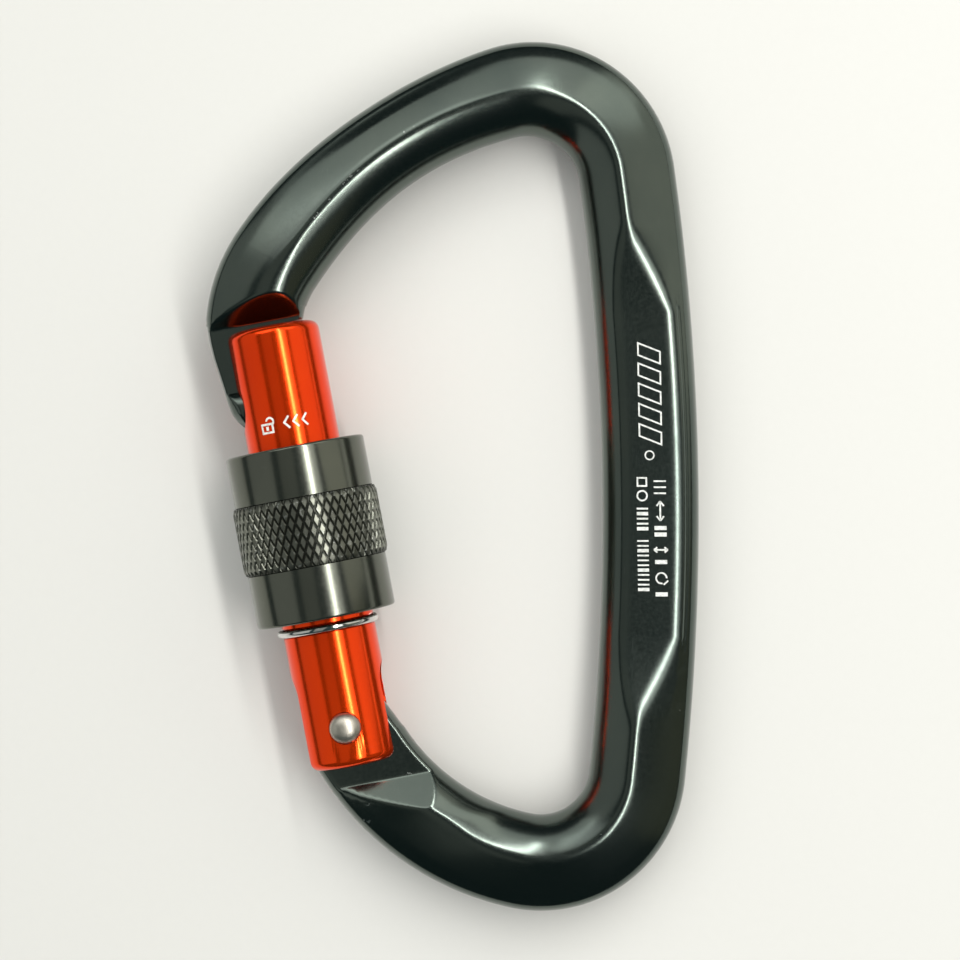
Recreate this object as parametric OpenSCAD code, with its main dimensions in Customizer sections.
// Locking carabiner: an offset-D forged frame with a keylock nose, a spring-closed gate on a
// riveted hinge, and a knurled screw sleeve that climbs a thread on the gate to cover the nose.
//
// The frame lies in the XY plane with its middle plane at z = 0. +Y runs towards the large bow,
// +X towards the spine. The gate, the sleeve and everything on them are drawn in gate
// coordinates: x across the gate towards the spine, y along its axis from the hinge to the nose.

/* [Frame] */
// Width of the frame's band, inner edge to outer edge
band_w = 12; // [11:0.1:13]
// Width of the band at the slimmest place of the top arm
arm_w = 10.9; // [10.2:0.1:12]
// Half thickness at the ridge of the bows
ridge_z = 5; // [4.5:0.1:5.6]
// Distance of the bows' ridge from the inner edge
ridge_in = 4.9; // [4.4:0.1:5.4]
// Half thickness of the flat panel on the spine
panel_z = 3.8; // [3.6:0.1:4.5]
// Distance of the spine panel's outer ridge from the inner edge
panel_out = 9.3; // [8.6:0.1:9.8]
// Half thickness where the outer rim starts to round over
rim_z = 2.5; // [2:0.1:3]
// Width of the rounded outer rim
rim_w = 1.4; // [1:0.1:1.8]

/* [Gate] */
// Radius of the gate's round body
gate_r = 5.8; // [5.6:0.05:5.9]
// Gate's length above the hinge pin
gate_top = 50.5; // [50:0.1:50.6]
// Gate's length below the hinge pin
gate_foot = 4.9; // [4.5:0.1:5.2]
// Lean of the closed gate away from the spine, degrees
gate_lean = 10.8; // [10.6:0.1:11]
// Radius of the rounded edges at both ends of the gate
gate_edge = 1.2; // [0.6:0.1:1.4]

/* [Hinge] */
// Radius of the rivet's shank
rivet_r = 1.5; // [1.2:0.05:1.6]
// Radius of the rivet's domed heads
rivet_head_r = 1.95; // [1.8:0.05:2.1]
// Running clearance of the shank in the frame's tang
rivet_play = 0.05; // [0.02:0.01:0.1]
// Half thickness of the tang in the gate's slot
tang_z = 2.4; // [2.2:0.05:2.4]
// Radius of the tang's round head
tang_r = 5.45; // [5.3:0.05:5.5]

/* [Keylock nose] */
// Half thickness of the nose's flat neck
neck_z = 1.55; // [1.4:0.05:1.6]
// Radius of the key at the end of the neck
key_r = 2.6; // [2.4:0.05:2.6]
// Height of the key above the hinge pin
key_u = 41.1; // [41:0.05:41.2]

/* [Sleeve] */
// Radius of the sleeve's plain ends
sleeve_r = 8.7; // [8.6:0.05:8.8]
// Radius over the knurl
knurl_r = 9.1; // [9:0.05:9.2]
// Length of the sleeve
sleeve_len = 21.6; // [21:0.1:21.8]
// Length of the knurled band
knurl_len = 8.5; // [7:0.1:9]
// Radius over the gate's thread
thread_r = 6.35; // [6.2:0.05:6.4]
// Running clearance between the thread and the sleeve
thread_play = 0.07; // [0.05:0.01:0.1]

/* [Retaining ring] */
// Radius of the ring's round wire
ring_wire_r = 0.5; // [0.45:0.01:0.52]
// Gap between the ring's ends, degrees
ring_gap = 24; // [10:1:40]

/* [Spring] */
// Radius of the spring's wire
spring_wire_r = 0.35; // [0.25:0.05:0.4]
// Number of turns
spring_turns = 13; // [8:1:14]

/* [Hidden] */
$fn = 64;

// Hinge pin's place in the frame.
hinge = [-13.11, -30.98];

// Centre line of the frame: a chain of arcs, each [radius, turn in degrees], driven
// counter-clockwise from the tang round the small bow, up the spine, over the large bow and
// down the top arm to the nose.
path_start = [-12.36, -32.23];
path_heading = -62;
arcs = [
    [31, 50],      // small bow's side, from the tang
    [12.1, 96],    // small bow
    [309, 14],     // spine
    [12.2, 98.4],  // large bow
    [51.3, 40.3],  // top arm
    [16.4, 37]     // bend down to the nose
];
arc_steps = [10, 17, 20, 17, 12, 8];

// Joint i of the chain: [x, y, heading, distance along the path].
function arc_mm(i) = arcs[i][0] * arcs[i][1] * PI / 180;
function on_arc(p, r, turn) = [
    p[0] + r * (sin(p[2] + turn) - sin(p[2])),
    p[1] - r * (cos(p[2] + turn) - cos(p[2])),
    p[2] + turn,
    p[3] + r * turn * PI / 180
];
function joint(i) = i == 0
    ? [path_start[0], path_start[1], path_heading, 0]
    : on_arc(joint(i - 1), arcs[i - 1][0], arcs[i - 1][1]);
last_arc = len(arcs) - 1;
stations = concat(
    [for (i = [0:last_arc]) let (p = joint(i)) for (k = [0:arc_steps[i] - 1])
        on_arc(p, arcs[i][0], arcs[i][1] * k / arc_steps[i])],
    [joint(last_arc + 1)]
);

// Where the spine's panel starts and ends along the path, and how long its ends take to open.
spine_start = arc_mm(0) + arc_mm(1);
spine_end = spine_start + arc_mm(2);
panel_margin = 7.3;
panel_taper = 10.5;
arm_start = spine_end + arc_mm(3);
arm_end = arm_start + arc_mm(4);

function clamp01(x) = max(0, min(1, x));
function ease(x) = let (c = clamp01(x)) c * c * (3 - 2 * c);
function panel_at(s) = min(
    clamp01((s - spine_start - panel_margin) / panel_taper),
    clamp01((spine_end - panel_margin - s) / panel_taper)
);
function width_at(s) = band_w
    - (band_w - arm_w) * ease((s - spine_end - 10) / 24) * (1 - ease((s - arm_end + 22) / 22));

// Half section as [distance from the inner edge, height]: a rope-bearing round, a flat land,
// a face that slopes to the outer rim, and the rim's round.
inner_steps = 4;
rim_steps = 3;
land = 0.4;
function half_section(s) = let (
    q = panel_at(s),
    top = ridge_z + (panel_z - ridge_z) * ease(q),
    inner = ridge_in - land + (2.5 - ridge_in + land) * q,
    outer = ridge_in + (panel_out - ridge_in) * q,
    w = width_at(s)
) concat(
    [for (k = [0:inner_steps]) let (f = 90 * k / inner_steps) [inner * (1 - cos(f)), top * sin(f)]],
    [[outer, top]],
    [for (k = [0:rim_steps]) let (f = 90 * k / rim_steps) [w - rim_w * (1 - sin(f)), rim_z * cos(f)]]
);
half_n = inner_steps + 1 + 1 + rim_steps + 1;
ring_n = 2 * half_n - 2;

// One ring of points round the section at station p: out along the underside, back over the top.
function ring(p) = let (
    h = half_section(p[3]),
    w = width_at(p[3]),
    out = [sin(p[2]), -cos(p[2])]
) [for (k = [0:ring_n - 1]) let (
        m = k < half_n ? k : ring_n - k,
        t = h[m][0] - w / 2,
        z = k < half_n ? -h[m][1] : h[m][1]
    ) [p[0] + out[0] * t, p[1] + out[1] * t, z]
];

// Skin of a tube whose rings of n points are stacked in order. Each flat end is closed by strips
// between the points of the ring's one half and their mirror images in the other.
function end_cap(n, first, turned) = [for (k = [1:n / 2], f = concat(
        k < n / 2 ? [[k, n - k, k - 1]] : [],
        k > 1 ? [[n - k, n - k + 1, k - 1]] : []
    )) [for (m = turned ? [2:-1:0] : [0:2]) first + f[m]]
];
function tube_faces(rings, n) = concat(
    end_cap(n, 0, true),
    [for (i = [0:rings - 2], k = [0:n - 1]) let (k2 = (k + 1) % n) [i * n + k, i * n + k2, (i + 1) * n + k]],
    [for (i = [0:rings - 2], k = [0:n - 1]) let (k2 = (k + 1) % n)
        [i * n + k2, (i + 1) * n + k2, (i + 1) * n + k]],
    end_cap(n, (rings - 1) * n, false)
);

function arc_points(r, from, to, steps) =
    [for (k = [0:steps]) let (a = from + (to - from) * k / steps) [r * cos(a), r * sin(a)]];

// Children drawn in gate coordinates, and children turned from +Z to lie along the gate.
module on_gate() {
    translate([hinge[0], hinge[1], 0])
        rotate([0, 0, gate_lean])
            children();
}
module along_gate() {
    rotate([-90, 0, 0])
        children();
}

// Flat on the tang's head that the spring plunger presses on.
tang_flat = 4.1;
// Slanted shoulders that the forged body ends in, above the tang and above the nose's neck: where
// they start and end along the gate, and their slopes.
tang_shoulder = [-7.4, -12.5];
tang_slope = 34;
nose_shoulder = [51.4, 57];
nose_slope = 44;
gate_side = 20;

// What the forging leaves away beside a flat of half thickness z that ends in a slanted shoulder.
module shoulder_cut(z, from, shoulder, slope) {
    rise = abs(shoulder[1] - shoulder[0]) * tan(slope);
    for (side = [0, 1])
        mirror([0, 0, side])
            rotate([90, 0, 90])
                linear_extrude(2 * gate_side, center = true)
                    polygon([[from, z], [shoulder[0], z], [shoulder[1], z + rise], [from, z + rise]]);
}

module forged_body() {
    points = [for (p = stations) each ring(p)];
    polyhedron(points, tube_faces(len(stations), ring_n), convexity = 6);
}

// Tang: a plate that ends in a round head about the hinge pin.
module tang_plate() {
    flat_angle = asin(tang_flat / tang_r);
    linear_extrude(2 * tang_z, center = true)
        polygon(concat(
            [[-3.2, -7], [-4.7, -5.2]],
            arc_points(tang_r, 190, 180 - flat_angle, 5),
            arc_points(tang_r, flat_angle, 30, 2),
            [[5.9, 0.6], [7.2, -2.4], [6, -7]]
        ));
}

// Nose: a flat neck that ends in a round key, both trimmed to the nose's outline.
nose_in = 1.8;
nose_root = 50.85;
module nose() {
    intersection() {
        linear_extrude(2 * key_r + 1, center = true)
            polygon([
                [nose_in, 52.8], [-7, 52.8], [-7.9, 50.5], [-7.85, 48], [-7.4, 44.6],
                [-7.05, 41.6], [-6.4, 39.6], [-5.4, 38.4], [nose_in, 38.4]
            ]);
        union() {
            translate([-20, key_u, -neck_z])
                cube([40, 20, 2 * neck_z]);
            translate([0, key_u, 0])
                rotate([0, 90, 0])
                    cylinder(h = 40, r = key_r, center = true);
        }
    }
}

module frame() {
    color("#2c3a3c")
        difference() {
            union() {
                difference() {
                    forged_body();
                    on_gate() {
                        shoulder_cut(tang_z, gate_side, tang_shoulder, tang_slope);
                        shoulder_cut(neck_z, gate_side, nose_shoulder, nose_slope);
                        // Room for the gate's solid side beside the neck.
                        translate([nose_in, key_u, -gate_side])
                            cube([gate_side, nose_root - key_u, 2 * gate_side]);
                    }
                }
                on_gate() {
                    tang_plate();
                    nose();
                }
            }
            on_gate()
                cylinder(h = 4 * tang_z, r = rivet_r + rivet_play, center = true);
        }
}

// Places along the gate, measured from the hinge pin.
far = 12;
slot_z = 2.55;
slot_top = 7.2;
spring_bore_r = 2.5;
spring_bore_top = 30;
groove_low = 11.95;
groove_high = 13.15;
groove_r = 5.42;
thread_low = 14.5;
thread_high = 30;
key_hole_u = 40.95;
key_hole_r = 3;
key_slot_z = 1.8;
key_slot_depth = 2.2;
rivet_seat = 5.2;
rivet_seat_r = rivet_head_r + 0.05;

// Gate's outside as [radius, height], with rounded ends, the ring's groove and the thread's land.
gate_profile = concat(
    [[0, -gate_foot]],
    [for (k = [0:4]) let (a = -90 + 90 * k / 4)
        [gate_r - gate_edge + gate_edge * cos(a), -gate_foot + gate_edge + gate_edge * sin(a)]],
    [[gate_r, groove_low], [groove_r, groove_low], [groove_r, groove_high], [gate_r, groove_high]],
    [[gate_r, thread_low], [thread_r, thread_low + 0.5], [thread_r, thread_high - 0.5], [gate_r, thread_high]],
    [for (k = [0:4]) let (a = 90 * k / 4)
        [gate_r - gate_edge + gate_edge * cos(a), gate_top - gate_edge + gate_edge * sin(a)]],
    [[0, gate_top]]
);

module gate() {
    color("#e8420c")
        on_gate()
            difference() {
                along_gate()
                    rotate_extrude()
                        polygon(gate_profile);
                // Slot for the tang, milled across the gate with a round end.
                translate([-far, -far, -slot_z])
                    cube([2 * far, far + slot_top - slot_z, 2 * slot_z]);
                translate([0, slot_top - slot_z, 0])
                    rotate([0, 90, 0])
                        cylinder(h = 2 * far, r = slot_z, center = true);
                // Bore for the plunger and the spring.
                along_gate()
                    cylinder(h = spring_bore_top, r = spring_bore_r);
                // Keyhole for the nose, open to the outer side and the top.
                translate([key_slot_depth - far, key_hole_u, -key_slot_z])
                    cube([far, 20, 2 * key_slot_z]);
                translate([key_slot_depth - far, key_hole_u, 0])
                    rotate([0, 90, 0])
                        cylinder(h = far, r = key_hole_r);
                // Hole for the rivet, with a seat for each head.
                cylinder(h = 4 * far, r = rivet_r, center = true);
                for (side = [0, 1])
                    mirror([0, 0, side])
                        translate([0, 0, rivet_seat])
                            cylinder(h = far, r = rivet_seat_r);
            }
}

// Rivet: a shank and two heads, domed by a sphere.
module hinge_rivet() {
    dome_h = 1.15;
    dome_r = (rivet_head_r * rivet_head_r + dome_h * dome_h) / (2 * dome_h);
    head_low = gate_r - 0.1;
    color("#c9c9cb")
        on_gate() {
            cylinder(h = 2 * rivet_seat + 0.2, r = rivet_r, center = true);
            for (side = [0, 1])
                mirror([0, 0, side]) {
                    translate([0, 0, rivet_seat])
                        cylinder(h = head_low - rivet_seat, r = rivet_head_r);
                    translate([0, 0, head_low])
                        intersection() {
                            cylinder(h = dome_h, r = rivet_head_r);
                            translate([0, 0, dome_h - dome_r])
                                sphere(r = dome_r);
                        }
                }
        }
}

// Spring and plunger in the gate's bore.
plunger_face = tang_flat + 0.03;
plunger_head_r = 2.2;
plunger_shoulder = 9;
spigot_r = 1.35;
spigot_top = 13;
spring_mid_r = 1.95;
spring_sides = 8;
turn_steps = 14;
closed_turns = 1.5;
spring_low = plunger_shoulder + spring_wire_r + 0.03;
spring_high = spring_bore_top - spring_wire_r - 0.03;

// Height of the wire after a number of turns: the end coils lie close, the rest are open.
closed_pitch = 2 * spring_wire_r + 0.05;
open_turns = spring_turns - 2 * closed_turns;
open_pitch = (spring_high - spring_low - 2 * closed_turns * closed_pitch) / open_turns;
function coil_height(t) = spring_low + closed_pitch * min(t, closed_turns)
    + open_pitch * max(0, min(t - closed_turns, open_turns))
    + closed_pitch * max(0, t - closed_turns - open_turns);
function wire_ring(t) = [for (k = [0:spring_sides - 1]) let (
        a = 360 * k / spring_sides,
        r = spring_mid_r + spring_wire_r * cos(a)
    ) [r * cos(360 * t), r * sin(360 * t), coil_height(t) + spring_wire_r * sin(a)]
];

module gate_spring() {
    rings = spring_turns * turn_steps + 1;
    points = [for (i = [0:rings - 1]) each wire_ring(i / turn_steps)];
    color("#b8bcc0")
        on_gate()
            along_gate()
                polyhedron(points, tube_faces(rings, spring_sides), convexity = 20);
}

module spring_plunger() {
    color("#9aa0a4")
        on_gate()
            along_gate()
                rotate_extrude()
                    polygon([
                        [0, plunger_face], [plunger_head_r - 0.2, plunger_face],
                        [plunger_head_r, plunger_face + 0.2], [plunger_head_r, plunger_shoulder],
                        [spigot_r, plunger_shoulder], [spigot_r, spigot_top - 0.3],
                        [spigot_r - 0.3, spigot_top], [0, spigot_top]
                    ]);
}

// Sleeve, unscrewed down against its retaining ring.
sleeve_low = 13.7;
sleeve_high = sleeve_low + sleeve_len;
knurl_low = 20.4;
knurl_high = knurl_low + knurl_len;
bore_r = thread_r + thread_play;
bore_high = 25.2;
hood_r = 7.9;
bevel = 0.4;

module lock_sleeve() {
    color("#454b4c")
        on_gate()
            along_gate()
                rotate_extrude()
                    polygon([
                        [bore_r + bevel, sleeve_low], [sleeve_r - bevel, sleeve_low],
                        [sleeve_r, sleeve_low + bevel], [sleeve_r, knurl_low],
                        [knurl_r, knurl_low + bevel], [knurl_r, knurl_high - bevel],
                        [sleeve_r, knurl_high], [sleeve_r, sleeve_high - bevel],
                        [sleeve_r - bevel, sleeve_high], [hood_r + 0.2, sleeve_high],
                        [hood_r, sleeve_high - 0.2], [hood_r, bore_high + hood_r - bore_r],
                        [bore_r, bore_high], [bore_r, sleeve_low + bevel]
                    ]);
}

// Retaining ring: an open ring of round wire in the groove under the sleeve.
module retaining_ring() {
    wire_mid_r = groove_r + 0.08 + ring_wire_r;
    color("#d4d6d8")
        on_gate()
            translate([0, (groove_low + groove_high) / 2, 0])
                along_gate()
                    rotate([0, 0, -20 + ring_gap / 2])
                        rotate_extrude(angle = 360 - ring_gap)
                            translate([wire_mid_r, 0])
                                circle(r = ring_wire_r);
}

frame();
gate();
hinge_rivet();
gate_spring();
spring_plunger();
lock_sleeve();
retaining_ring();
